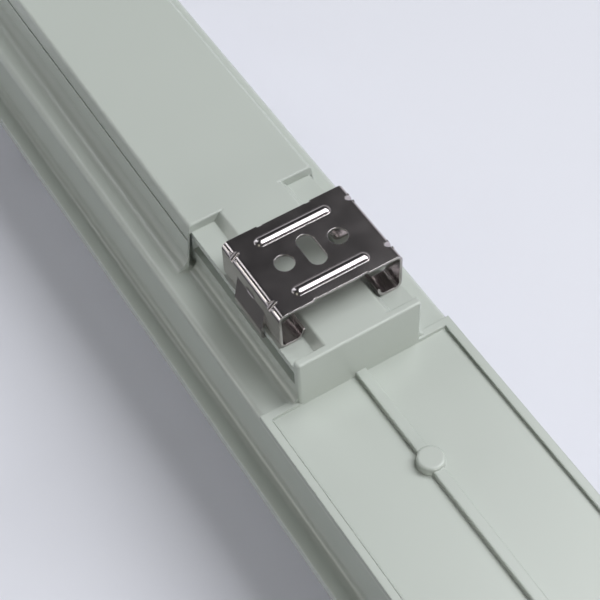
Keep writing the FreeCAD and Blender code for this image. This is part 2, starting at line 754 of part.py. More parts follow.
def dart(radius):
    """Rod across the +Y bend, at 45 degrees, sunk into the bend's corner by the dart's depth."""
    middle = V(dart_offset, clip_half, clip_top)
    out = V(0, 1, 1).normalize()
    along = V(0, -1, 1).normalize()
    centre = middle + out * (dart_radius - dart_depth - clip_bend * (math.sqrt(2) - 1))
    return Part.makeCylinder(radius, 3 * clip_bend, centre - along * 1.5 * clip_bend, along)


def mounting_clip(station):
    """Folded clip: plate with slot, holes, pressed ribs and nicks; darts at its bends; two legs."""
    half_x, half_y = clip_length / 2, clip_half
    plate_solid = block(-half_x, half_x, -half_y + clip_bend, half_y - clip_bend, clip_top - sheet, clip_top)
    shapes = [plate_solid] + both_y(clip_leg())
    above = block(-half_x, half_x, -half_y, half_y, clip_top - sheet / 2, clip_top + clip_rib_height + 1)
    inside = block(-half_x, half_x, 0, half_y - sheet / 2, clip_top - 4 * sheet, clip_top - sheet / 2)
    cuts = [stadium(slot_length, slot_width, clip_top - 3, clip_top + 3).rotated(V(0, 0, 0), Z_AXIS, 90)]
    for side in (-1, 1):
        shift = V(side * clip_rib_offset, 0, 0)
        shapes.append(rib_form(0.0).common(above).translated(shift))
        cuts.append(rib_form(sheet).translated(shift))
        cuts.append(rod_z(clip_hole / 2, clip_top - 3, clip_top + 3, 0, side * clip_hole_pitch))
    backs = dart(dart_radius + sheet).common(inside)
    corners = both_y(backs)
    shapes += corners + [mirror_x(one) for one in corners]
    corners = both_y(dart(dart_radius))
    cuts += corners + [mirror_x(one) for one in corners]
    cuts += edge_nicks() + leg_dimples()
    solid = union(shapes).cut(Part.makeCompound(cuts))
    return solid.translated(V(station, 0, 0))


def edge_nicks():
    """Four small nicks in the plate's free edges, and the slight relief between each pair."""
    cuts = []
    half_x = clip_length / 2
    for sx in (-1, 1):
        edge, free = sx * half_x, sx * (half_x + 1)
        cuts.append(box_between(edge - sx * edge_relief, free, -nick_offset, nick_offset, clip_top - 3, clip_top + 3))
        for sy in (-1, 1):
            low, high = sy * nick_offset - nick_width / 2, sy * nick_offset + nick_width / 2
            slant = nick_depth / 2
            nick = [(edge - sx * nick_depth, low + slant, 0), (free, low - slant, 0), (free, high + slant, 0),
                    (edge - sx * nick_depth, high - slant, 0)]
            cuts.append(prism_z(nick, clip_top - 3, clip_top + 3))
    return cuts


def box_between(x0, x1, y0, y1, z0, z1):
    return block(min(x0, x1), max(x0, x1), y0, y1, z0, z1)


def leg_dimples():
    """Shallow pressed oval on the outside of each leg, at the tongue's root."""
    radius = crown_radius(dimple_width, dimple_depth)
    middle = V(0, clip_half + radius - dimple_depth, back_top + dimple_height)
    return both_y(capsule(radius, (dimple_length - dimple_width) / 2, middle, X_AXIS))


# Gear tray and terminal block

def tray_screw_places():
    return [(sx * tray_screw_x, sy * tray_screw_y) for sx in (-1, 1) for sy in (-1, 1)]


def gear_tray():
    """White steel channel with its edges folded up, slots for the holders' necks and screw holes."""
    fold = tray_foot + tray_fold
    points = [(-tray_half, fold, 0), (-tray_half, tray_foot, tray_bend), (tray_half, tray_foot, tray_bend),
              (tray_half, fold, 0)]
    shape = sheet_strip(points, tray_sheet, -tray_end, tray_end)
    cuts = [rod_z(screw_shank + screw_hole_gap, tray_foot - 1, tray_top + 1, x, y) for x, y in tray_screw_places()]
    half_y = holder_neck_half + neck_hole_gap
    for side in (-1, 1):
        centre = side * (holder_face + holder_back) / 2
        reach = holder_thick / 2 - neck_inset + neck_hole_gap
        cuts.append(block(centre - reach, centre + reach, -half_y, half_y, tray_foot - 1, tray_top + 1))
    return shape.cut(Part.makeCompound(cuts))


def tray_screws():
    """Four pan-head screws up through the tray into the housing's bosses."""
    screws = []
    low = tray_foot - screw_head_thick
    top = low + screw_cross_depth
    for x, y in tray_screw_places():
        head = rod_z(screw_head, low, tray_foot, x, y)
        edge = [e for e in head.Edges if abs(e.CenterOfMass.z - low) < 1e-6 and isinstance(e.Curve, Part.Circle)]
        head = head.makeFillet(screw_head_round, edge)
        long, short = screw_cross_half, screw_cross_width / 2
        cross = union([block(x - long, x + long, y - short, y + short, low - 1, top),
                       block(x - short, x + short, y - long, y + long, low - 1, top)])
        shank = rod_z(screw_shank, tray_foot - 0.1, tray_top + screw_length, x, y)
        screws.append(union([head.cut(cross), shank]))
    return Part.makeCompound(screws)


def terminal_places():
    """Middle of each terminal screw, two to a pole."""
    return [(block_station + sx * well_offset, k * pole_pitch) for k in (-1, 0, 1) for sx in (-1, 1)]


def terminal_block():
    """Three-pole block with wire mouths at both faces and screw wells on top."""
    x0, x1 = block_station - block_length / 2, block_station + block_length / 2
    top = tray_top + block_height
    body = prism_x([(-block_half, tray_top, 0), (block_half, tray_top, 0), (block_half, top, block_round),
                    (-block_half, top, block_round)], x0, x1)
    cuts = [rod_z(well_radius, top - well_depth, top + 1, x, y) for x, y in terminal_places()]
    level = tray_top + mouth_height
    for k in (-1, 0, 1):
        cuts.append(rod_x(mouth_radius, x0 - 1, x0 + mouth_depth, k * pole_pitch, level))
        cuts.append(rod_x(mouth_radius, x1 - mouth_depth, x1 + 1, k * pole_pitch, level))
    for k in (-0.5, 0.5):
        middle = k * pole_pitch
        cuts.append(block(x0 - 1, x1 + 1, middle - barrier_slot / 2, middle + barrier_slot / 2, top - barrier_depth,
                          top + 1))
    return body.cut(Part.makeCompound(cuts))


def terminal_screws():
    """Slotted screws at the bottom of the wells."""
    floor = tray_top + block_height - well_depth
    top = tray_top + block_height - terminal_screw_drop
    half = terminal_slot / 2
    screws = []
    for x, y in terminal_places():
        body = rod_z(terminal_screw_radius, floor, top, x, y)
        screws.append(body.cut(block(x - well_radius, x + well_radius, y - half, y + half,
                                     top - terminal_slot_depth, top + 1)))
    return Part.makeCompound(screws)


def lamp_wires():
    """Two leads from the block's far mouths, down beside the tray and into the holder's neck."""
    start = block_station + block_length / 2 - wire_seat
    level = tray_top + mouth_height
    foot = tray_top + holder_neck_height / 2
    neck = holder_face + neck_inset
    wires = []
    for side in (-1, 1):
        near, far = side * pole_pitch, side * wire_pitch / 2
        run = (neck - start) / 4
        points = [V(start, near, level), V(start + run * 1.3, near, level), V(neck - run * 1.1, far, foot),
                  V(neck + wire_seat, far, foot)]
        wires.append(tube_along(points, wire_radius))
    return Part.makeCompound(wires)


def tube_along(points, radius):
    """Round tube along straight runs joined by tangent arcs, each as large as its two runs allow."""
    edges = []
    here = points[0]
    for before, corner, after in zip(points, points[1:], points[2:]):
        a, b = (before - corner).normalize(), (after - corner).normalize()
        half = a.getAngle(b) / 2
        size = 0.45 * min((before - corner).Length, (after - corner).Length) * math.tan(half)
        reach = size / math.tan(half)
        first, last = corner + a * reach, corner + b * reach
        middle = corner + (a + b).normalize() * (size / math.sin(half) - size)
        edges.append(Part.LineSegment(here, first).toShape())
        edges.append(Part.Arc(first, middle, last).toShape())
        here = last
    edges.append(Part.LineSegment(here, points[-1]).toShape())
    section = Part.Wire([Part.makeCircle(radius, points[0], (points[1] - points[0]).normalize())])
    return Part.Wire(edges).makePipeShell([section], True, False)


# Lamp holders and tube

def holder_body(side):
    """Holder on the +X end: round foot, flat sides, neck through the tray, round cavity and entry slot."""
    x0, x1 = holder_face, holder_face + holder_thick
    z = tube_axis_height
    front = union([block(x0, x1, -holder_half, holder_half, z, tray_foot), rod_x(holder_half, x0, x1, 0, z)])
    neck = block(x0 + neck_inset, x1 - neck_inset, -holder_neck_half, holder_neck_half, tray_foot - 1,
                 tray_top + holder_neck_height)
    cavity = rod_x(rotor_radius + rotor_gap, x0 - 1, x0 + holder_cavity, 0, z)
    entry = block(x0 - 1, x0 + holder_cavity, -entry_slot / 2, entry_slot / 2, 0, z)
    wells = [rod_x(wire_radius + wire_gap, x0, x0 + neck_inset + wire_seat + wire_gap, sy * wire_pitch / 2,
                   tray_top + holder_neck_height / 2) for sy in (-1, 1)]
    shape = union([front, neck]).cut(Part.makeCompound([cavity, entry] + wells))
    return shape if side > 0 else mirror_x(shape)


def holder_rotor(side):
    x0 = holder_face + rotor_gap
    z = tube_axis_height
    disc = rod_x(rotor_radius, x0, x0 + rotor_thick, 0, z)
    slot = block(x0 - 1, x0 + rotor_thick + 1, -pin_pitch / 2 - pin_radius - rotor_slot_end, rotor_radius + 1,
                 z - rotor_slot / 2, z + rotor_slot / 2)
    shape = disc.cut(slot)
    return shape if side > 0 else mirror_x(shape)


def holder_contacts(side):
    x0 = holder_face + rotor_gap + rotor_thick + contact_rotor_gap
    x1 = holder_face + holder_cavity
    y0 = pin_pitch / 2 + pin_radius + contact_clear
    strip = block(x0, x1, y0, y0 + contact_thick, tube_axis_height - contact_half, tube_axis_height + contact_half)
    shape = Part.makeCompound(both_y(strip))
    return shape if side > 0 else mirror_x(shape)


def tube_envelope():
    """Opal lower part of the tube and its aluminium back, which meet at two side lines."""
    half = cap_face - cap_length + cap_lap
    z = tube_axis_height
    shell = rod_x(tube_radius, -half, half, 0, z).cut(rod_x(tube_radius - tube_shell, -half - 1, half + 1, 0, z))
    split = z + split_rise
    lower = shell.cut(block(-half - 1, half + 1, -tube_radius - 1, tube_radius + 1, split, z + tube_radius + 1))
    upper = shell.cut(block(-half - 1, half + 1, -tube_radius - 1, tube_radius + 1, 0, split))
    seat = z + platform_rise
    bridge = rod_x(tube_radius - tube_shell / 2, -half, half, 0, z).common(
        block(-half, half, -tube_radius, tube_radius, seat, seat + platform_thick))
    return lower, union([upper, bridge])


def led_board():
    half = cap_face - cap_length - board_end_gap
    top = tube_axis_height + platform_rise
    board = block(-half, half, -board_half, board_half, top - board_thick, top)
    chips = []
    pitch = 2 * half / chip_count
    for k in range(chip_count):
        x = -half + (k + 0.5) * pitch
        chips.append(block(x - chip_size / 2, x + chip_size / 2, -chip_size / 2, chip_size / 2,
                           top - board_thick - chip_thick, top - board_thick))
    return union([board] + chips)


def tube_end_cap(side):
    """Cup over the tube's end with a domed edge."""
    z = tube_axis_height
    outer = tube_radius + cap_proud
    x0 = cap_face - cap_length
    cup = rod_x(outer, x0, cap_face, 0, z)
    rim = [e for e in cup.Edges if isinstance(e.Curve, Part.Circle) and abs(e.CenterOfMass.x - cap_face) < 1e-6]
    cup = cup.makeFillet(cap_round, rim)
    cup = cup.cut(rod_x(tube_radius + cap_fit, x0 - 1, x0 + cap_lap + cap_fit, 0, z))
    cup = cup.cut(rod_x(tube_radius - cap_step, x0 - 1, cap_face - cap_thick, 0, z))
    return cup if side > 0 else mirror_x(cup)


def tube_pins(side):
    pins = []
    for sy in (-1, 1):
        pin = rod_x(pin_radius, cap_face, cap_face + pin_length, sy * pin_pitch / 2, tube_axis_height)
        tip = [e for e in pin.Edges if isinstance(e.Curve, Part.Circle)
               and abs(e.CenterOfMass.x - cap_face - pin_length) < 1e-6]
        pins.append(pin.makeFillet(pin_round, tip))
    shape = Part.makeCompound(pins)
    return shape if side > 0 else mirror_x(shape)


# Cable gland and blanking plug

def gland_body():
    """Threaded body with its hexagon outside the washer and a slotted collet inside the dome nut."""
    z = gland_height
    collet_start = gland_face + gland_hex_thick
    thread = rod_x(gland_thread, thread_end, gland_face + 1, 0, z)
    hexagon = hexagon_x(gland_hex, gland_face, collet_start, 0, z)
    collar = rod_x(collet_radius, gland_face, collet_end, 0, z)
    cuts = [rod_x(gland_bore, thread_end - 1, collet_end + 1, 0, z),
            rod_x(seal_radius + seal_fit, collet_end - seal_length, collet_end + 1, 0, z)]
    for k in range(collet_fingers):
        slot = block(collet_start + collet_root, collet_end + 1, -collet_slot / 2, collet_slot / 2, z,
                     z + collet_radius + 1)
        slot.rotate(V(0, 0, z), X_AXIS, k * 360.0 / collet_fingers)
        cuts.append(slot)
    return union([thread, hexagon, collar]).cut(Part.makeCompound(cuts))


def gland_seal():
    start = collet_end - seal_length
    outer = rod_x(seal_radius, start + seal_fit, collet_end, 0, gland_height)
    return outer.cut(rod_x(cable_radius, start - 1, collet_end + 1, 0, gland_height))


def gland_nut():
    """Dome nut with a hexagon, bored over the collet with a running gap."""
    z = gland_height
    x0 = gland_face + gland_hex_thick + nut_gap
    x1 = x0 + gland_nut_length
    shape = hexagon_x(gland_hex, x0, x0 + gland_nut_grip, 0, z).common(rod_x(gland_hex / 2 + 1.2, x0, x1, 0, z))
    dome = rod_x(gland_hex / 2 - 0.2, x0, x1, 0, z)
    rim = [e for e in dome.Edges if isinstance(e.Curve, Part.Circle) and abs(e.CenterOfMass.x - x1) < 1e-6]
    shape = union([shape, dome.makeFillet(gland_nut_round, rim)])
    shape = shape.cut(rod_x(collet_radius + nut_fit, x0 - 1, collet_end + nut_gap, 0, z))
    return shape.cut(rod_x(nut_mouth, x0 - 1, x1 + 1, 0, z))


def washer(side):
    ring_solid = rod_x(washer_radius, entry_face, gland_face, 0, gland_height).cut(
        rod_x(gland_thread + entry_fit, entry_face - 1, gland_face + 1, 0, gland_height))
    return ring_solid if side > 0 else mirror_x(ring_solid)


def locknut(side):
    x0 = entry_inner - locknut_thick
    nut = hexagon_x(locknut_hex, x0, entry_inner, 0, gland_height)
    nut = nut.cut(rod_x(gland_thread + thread_fit, x0 - 1, entry_inner + 1, 0, gland_height))
    return nut if side > 0 else mirror_x(nut)


def plug_body():
    """Blanking plug on the -X end: round slotted head and a hollow threaded shank."""
    z = gland_height
    head_end = gland_face + plug_head_thick
    head = rod_x(plug_head_radius, gland_face, head_end, 0, z)
    rim = [e for e in head.Edges if isinstance(e.Curve, Part.Circle) and abs(e.CenterOfMass.x - head_end) < 1e-6]
    head = head.makeFillet(plug_head_round, rim)
    shape = union([head, rod_x(gland_thread, thread_end, gland_face + 1, 0, z)])
    hollow = rod_x(gland_thread - plug_wall, thread_end - 1, gland_face - plug_floor, 0, z)
    slot = block(head_end - plug_slot_depth, head_end + 1, -plug_slot_half, plug_slot_half, z - plug_slot / 2,
                 z + plug_slot / 2)
    return mirror_x(shape.cut(Part.makeCompound([hollow, slot])))


def build():
    """Every node of the fitting, by name."""
    lower, upper = tube_envelope()
    nodes = {
        "housing": housing(),
        "housing_gasket": housing_gasket(),
        "diffuser": diffuser(),
        "gear_tray": gear_tray(),
        "tray_screws": tray_screws(),
        "latch_pins": latch_pins(),
        "mounting_clip_1": mounting_clip(-clip_station),
        "mounting_clip_2": mounting_clip(clip_station),
        "terminal_block": terminal_block(),
        "terminal_screws": terminal_screws(),
        "lamp_wires": lamp_wires(),
        "tube_cover": lower,
        "tube_back": upper,
        "led_board": led_board(),
        "gland_body": gland_body(),
        "gland_seal": gland_seal(),
        "gland_nut": gland_nut(),
        "gland_washer": washer(1),
        "gland_locknut": locknut(1),
        "plug_body": plug_body(),
        "plug_washer": washer(-1),
        "plug_locknut": locknut(-1),
    }
    for k, side in ((1, 1), (2, -1)):
        nodes[f"lampholder_body_{k}"] = holder_body(side)
        nodes[f"lampholder_rotor_{k}"] = holder_rotor(side)
        nodes[f"lampholder_contacts_{k}"] = holder_contacts(side)
        nodes[f"tube_end_cap_{k}"] = tube_end_cap(side)
        nodes[f"tube_pins_{k}"] = tube_pins(side)
    number = 0
    for side in (1, -1):
        for station in latch_stations:
            number += 1
            nodes[f"latch_{number}"] = latch(station, side)
    return nodes


def tidy(shape):
    """Merge coplanar faces and return one solid, or a compound of separate solids."""
    clean = shape.removeSplitter()
    return clean.Solids[0] if len(clean.Solids) == 1 else Part.makeCompound(clean.Solids)


os.makedirs("parts", exist_ok=True)
for name, shape in build().items():
    solid = tidy(shape)
    solid.exportStep(f"parts/{name}.step")
    bounds = solid.BoundBox
    print(f"{name:24s} solids {len(solid.Solids)} valid {solid.isValid()} faces {len(solid.Faces):4d} "
          f"volume {solid.Volume:10.1f} box {bounds.XMin:.1f},{bounds.YMin:.1f},{bounds.ZMin:.1f} "
          f"{bounds.XMax:.1f},{bounds.YMax:.1f},{bounds.ZMax:.1f}")
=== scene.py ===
"""Looks of a sealed batten for one lamp tube, lying on its diffuser with its moulded back up.

The packed solids carry their own forms. This script gives each its finish, adds the fine pieces that
the solids leave out, and sets the floor, the lamps and the camera. Lengths are metres.
"""

import json
import logging
import math
from dataclasses import dataclass, field
from enum import Enum
from typing import ClassVar

import bmesh
import bpy
import numpy as np
from mathutils import Matrix, Vector

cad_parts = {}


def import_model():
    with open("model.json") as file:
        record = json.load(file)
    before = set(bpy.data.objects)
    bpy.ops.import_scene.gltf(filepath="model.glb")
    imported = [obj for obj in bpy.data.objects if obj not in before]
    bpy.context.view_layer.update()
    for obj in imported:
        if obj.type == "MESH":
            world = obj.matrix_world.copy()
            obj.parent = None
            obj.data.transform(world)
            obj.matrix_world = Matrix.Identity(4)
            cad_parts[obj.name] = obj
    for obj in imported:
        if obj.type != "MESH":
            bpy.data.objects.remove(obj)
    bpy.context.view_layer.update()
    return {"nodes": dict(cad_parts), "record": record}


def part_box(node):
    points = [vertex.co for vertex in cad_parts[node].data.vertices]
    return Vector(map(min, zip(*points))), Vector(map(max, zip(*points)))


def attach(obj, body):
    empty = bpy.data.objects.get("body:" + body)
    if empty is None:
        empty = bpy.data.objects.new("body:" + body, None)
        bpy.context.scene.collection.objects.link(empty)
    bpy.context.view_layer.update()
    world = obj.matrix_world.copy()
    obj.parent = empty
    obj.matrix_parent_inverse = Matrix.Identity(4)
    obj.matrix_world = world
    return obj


log = logging.getLogger("batten")
MM = 0.001

Colour = tuple[float, float, float]
Point = tuple[float, float, float]


class Coating(Enum):
    """How the skin of a finish is broken up."""

    SPARK = "spark-eroded mould grain"
    PEEL = "orange peel of a powder coat"
    FOAM = "open cells of a foamed seal"
    PLAIN = "smooth"


class NodeGraph:
    """Short way to build a material's node tree."""

    NOISE_LOW: ClassVar[float] = 0.3
    NOISE_HIGH: ClassVar[float] = 0.7
    MIX_FIRST: ClassVar[int] = 6
    MIX_SECOND: ClassVar[int] = 7
    MIX_RESULT: ClassVar[int] = 2

    def __init__(self, name: str) -> None:
        """Make an empty node material.

        Args:
            name: the material's name.
        """
        self.material = bpy.data.materials.new(name)
        self.material.use_nodes = True
        self.nodes = self.material.node_tree.nodes
        self.links = self.material.node_tree.links
        self.nodes.clear()
        self.output = self.nodes.new("ShaderNodeOutputMaterial")
        self.shader = self.nodes.new("ShaderNodeBsdfPrincipled")
        self.links.new(self.shader.outputs["BSDF"], self.output.inputs["Surface"])

    def add(self, kind: str, **inputs: object) -> bpy.types.Node:
        """Add a node and fill its inputs.

        Args:
            kind: node type without its "ShaderNode" start.
            inputs: input name with spaces as underscores, to a value or to an output socket.

        Returns:
            The new node.
        """
        node = self.nodes.new("ShaderNode" + kind)
        for key, value in inputs.items():
            self.feed(node, key.replace("_", " "), value)
        return node

    def feed(self, node: bpy.types.Node, name: str, value: object) -> None:
        """Link or set one input of a node.

        Args:
            node: the node.
            name: its input's name.
            value: an output socket, or a plain value.
        """
        socket = node.inputs[name]
        if isinstance(value, bpy.types.NodeSocket):
            self.links.new(value, socket)
        else:
            socket.default_value = value

    def place(self, stretch: Point = (1.0, 1.0, 1.0)) -> bpy.types.NodeSocket:
        """Object coordinates, stretched along the axes.

        Args:
            stretch: factor along each axis.

        Returns:
            The vector socket.
        """
        where = self.add("TexCoord").outputs["Object"]
        if stretch == (1.0, 1.0, 1.0):
            return where
        return self.add("Mapping", Vector=where, Scale=stretch).outputs["Vector"]

    def ramp(self, factor: bpy.types.NodeSocket, low: float, high: float) -> bpy.types.NodeSocket:
        """Map a noise's middle stretch onto low..high.

        Args:
            factor: socket with values mostly from NOISE_LOW to NOISE_HIGH.
            low: result at NOISE_LOW and below.
            high: result at NOISE_HIGH and above.

        Returns:
            The mapped value.
        """
        node = self.add("MapRange")
        self.links.new(factor, node.inputs[0])
        for index, value in enumerate((self.NOISE_LOW, self.NOISE_HIGH, low, high), start=1):
            node.inputs[index].default_value = value
        return node.outputs[0]

    def mix(self, factor: object, first: Colour, second: Colour) -> bpy.types.NodeSocket:
        """Blend two colours.

        Args:
            factor: share of the second, a socket or a number.
            first: colour at 0.
            second: colour at 1.

        Returns:
            The colour socket.
        """
        node = self.nodes.new("ShaderNodeMix")
        node.data_type = "RGBA"
        self.feed(node, "Factor", factor)
        node.inputs[self.MIX_FIRST].default_value = (*first, 1.0)
        node.inputs[self.MIX_SECOND].default_value = (*second, 1.0)
        return node.outputs[self.MIX_RESULT]


def shade(colour: Colour, factor: float) -> Colour:
    """Colour times a factor, held at 1."""
    return tuple(min(1.0, c * factor) for c in colour)


@dataclass(frozen=True)
class Moulding:
    """A moulded plastic, rubber or coated skin with its own grain."""

    CLOUD_DETAIL: ClassVar[float] = 4.0
    WEAR_DETAIL: ClassVar[float] = 3.0
    WEAR_FINENESS: ClassVar[float] = 3.0
    SPARK_DETAIL: ClassVar[float] = 3.0
    PEEL_DETAIL: ClassVar[float] = 0.5
    SCATTER_DEPTH: ClassVar[float] = 2.0 * MM
    name: str
    colour: Colour
    roughness: float
    coating: Coating = Coating.PLAIN
    grain: float = 0.5 * MM
    depth: float = 0.02 * MM
    cloud: float = 0.02
    cloud_size: float = 60 * MM
    wear: float = 0.08
    edge: float = 0.25 * MM
    subsurface: float = 0.0
    transmission: float = 0.0

    def build(self) -> bpy.types.Material:
        """Make the material.

        Returns:
            A Principled material: clouded colour, uneven gloss, grain bump and softened edges.
        """
        g = NodeGraph(self.name)
        cloud = g.add("TexNoise", Vector=g.place(), Scale=1.0 / self.cloud_size, Detail=self.CLOUD_DETAIL)
        tint = g.mix(g.ramp(cloud.outputs["Fac"], 0.0, 1.0), shade(self.colour, 1 - self.cloud),
                     shade(self.colour, 1 + self.cloud))
        g.feed(g.shader, "Base Color", tint)
        wear = g.add("TexNoise", Vector=g.place(), Scale=self.WEAR_FINENESS / self.cloud_size,
                     Detail=self.WEAR_DETAIL)
        g.feed(g.shader, "Roughness", g.ramp(wear.outputs["Fac"], self.roughness * (1 - self.wear),
                                             self.roughness * (1 + self.wear)))
        g.shader.inputs["Subsurface Weight"].default_value = self.subsurface
        g.shader.inputs["Subsurface Scale"].default_value = self.SCATTER_DEPTH
        g.shader.inputs["Transmission Weight"].default_value = self.transmission
        g.feed(g.shader, "Normal", self.skin(g))
        return g.material

    def skin(self, g: NodeGraph) -> bpy.types.NodeSocket:
        """Normal of the grain over softened edges.

        Args:
            g: the graph being built.

        Returns:
            The normal socket.
        """
        soft = g.add("Bevel", Radius=self.edge).outputs["Normal"]
        if self.coating is Coating.PLAIN:
            return soft
        if self.coating is Coating.FOAM:
            cells = g.add("TexVoronoi", Vector=g.place(), Scale=1.0 / self.grain).outputs["Distance"]
        else:
            detail = self.SPARK_DETAIL if self.coating is Coating.SPARK else self.PEEL_DETAIL
            cells = g.add("TexNoise", Vector=g.place(), Scale=1.0 / self.grain, Detail=detail).outputs["Fac"]
        return g.add("Bump", Height=cells, Distance=self.depth, Strength=1.0, Normal=soft).outputs["Normal"]


@dataclass(frozen=True)
class Metal:
    """A bare metal with rolling or drawing lines along one axis."""

    LINE_DETAIL: ClassVar[float] = 3.0
    SMEARS_PER_METRE: ClassVar[float] = 120.0
    SMEAR_DETAIL: ClassVar[float] = 5.0
    TINT: ClassVar[float] = 0.04
    name: str
    colour: Colour
    roughness: float
    lines: Point = (0.04, 1.0, 1.0)
    line_size: float = 0.25 * MM
    depth: float = 0.002 * MM
    edge: float = 0.12 * MM
    smear: float = 0.12
    wave: float = 0.0
    wave_size: float = 9.0 * MM

    def build(self) -> bpy.types.Material:
        """Make the material.

        Returns:
            A metallic Principled material with lines, faint handling smears and softened edges.
        """
        g = NodeGraph(self.name)
        g.shader.inputs["Metallic"].default_value = 1.0
        smears = g.add("TexNoise", Vector=g.place(), Scale=self.SMEARS_PER_METRE, Detail=self.SMEAR_DETAIL)
        spread = smears.outputs["Fac"]
        tint = g.mix(g.ramp(spread, 0.0, 1.0), shade(self.colour, 1 - self.TINT),
                     shade(self.colour, 1 + self.TINT))
        g.feed(g.shader, "Base Color", tint)
        g.feed(g.shader, "Roughness", g.ramp(spread, self.roughness * (1 - self.smear),
                                             self.roughness * (1 + self.smear)))
        g.feed(g.shader, "Normal", self.skin(g))
        return g.material

    def skin(self, g: NodeGraph) -> bpy.types.NodeSocket:
        """Normal of the drawing lines over a slight swell and softened edges.

        Args:
            g: the graph being built.

        Returns:
            The normal socket.
        """
        soft = g.add("Bevel", Radius=self.edge).outputs["Normal"]
        if self.wave:
            swell = g.add("TexNoise", Vector=g.place(), Scale=1.0 / self.wave_size, Detail=1.0)
            wavy = g.add("Bump", Height=swell.outputs["Fac"], Distance=self.wave, Strength=1.0, Normal=soft)
            soft = wavy.outputs["Normal"]
        lines = g.add("TexNoise", Vector=g.place(self.lines), Scale=1.0 / self.line_size,
                      Detail=self.LINE_DETAIL)
        bump = g.add("Bump", Height=lines.outputs["Fac"], Distance=self.depth, Strength=1.0, Normal=soft)
        return bump.outputs["Normal"]


class Finishes:
    """Every finish of the fitting, by the record's slot names.

    No finish's roughness crosses 0.274, where the denoiser's guide jumps and would leave faint marks.
    """

    shell = Moulding("housing_plastic", (0.515, 0.552, 0.511), 0.25, Coating.SPARK, 0.35 * MM, 0.006 * MM,
                     cloud=0.012, edge=0.5 * MM)
    opal = Moulding("opal_plastic", (0.86, 0.87, 0.87), 0.285, Coating.SPARK, 0.6 * MM, 0.004 * MM,
                    cloud=0.004, cloud_size=30 * MM, wear=0.02, subsurface=0.1)
    foam = Moulding("gasket_foam", (0.74, 0.74, 0.70), 0.9, Coating.FOAM, 0.5 * MM, 0.1 * MM)
    coat = Moulding("white_steel", (0.80, 0.81, 0.81), 0.35, Coating.PEEL, 1.2 * MM, 0.02 * MM)
    white = Moulding("white_plastic", (0.78, 0.78, 0.75), 0.3)
    wire = Moulding("wire_insulation", (0.70, 0.70, 0.66), 0.4)
    frosted = Moulding("tube_opal", (0.86, 0.87, 0.86), 0.35, transmission=0.3)
    board = Moulding("board_white", (0.80, 0.80, 0.77), 0.45)
    phosphor = Moulding("phosphor_gel", (0.82, 0.66, 0.16), 0.2, cloud=0.03, cloud_size=2 * MM)
    cap = Moulding("cap_plastic", (0.80, 0.80, 0.79), 0.25)
    gland = Moulding("gland_plastic", (0.43, 0.455, 0.45), 0.38, Coating.SPARK, 0.3 * MM, 0.008 * MM)
    rubber = Moulding("seal_rubber", (0.022, 0.022, 0.022), 0.6, Coating.SPARK, 0.4 * MM, 0.01 * MM)
    stainless = Metal("stainless_steel", (0.54, 0.50, 0.50), 0.21, edge=0.3 * MM, smear=0.1, wave=0.02 * MM)
    zinc = Metal("zinc_steel", (0.62, 0.62, 0.60), 0.32, (1.0, 1.0, 1.0), 0.6 * MM)
    contact = Metal("contact_metal", (0.68, 0.64, 0.52), 0.24)
    extrusion = Metal("tube_aluminium", (0.72, 0.73, 0.74), 0.32, (0.01, 1.0, 1.0), 0.4 * MM, 0.006 * MM)


Finished = dict[str, bpy.types.Material]


def make_finishes() -> Finished:
    """Make every finish once.

    Returns:
        Materials by finish name.
    """
    finishes = [f for f in vars(Finishes).values() if isinstance(f, (Moulding, Metal))]
    return {finish.name: finish.build() for finish in finishes}


def dress_solids(frame: dict, made: Finished) -> None:
    """Give each packed solid the finish of its slot.

    Args:
        made: materials by finish name.
    """
    for part in frame["record"]["subparts"]:
        node = frame["nodes"][part["node"]]
        for place in node.material_slots:
            place.material = made[part["material_slot"]]
        log.info("%s wears %s", part["node"], part["material_slot"])


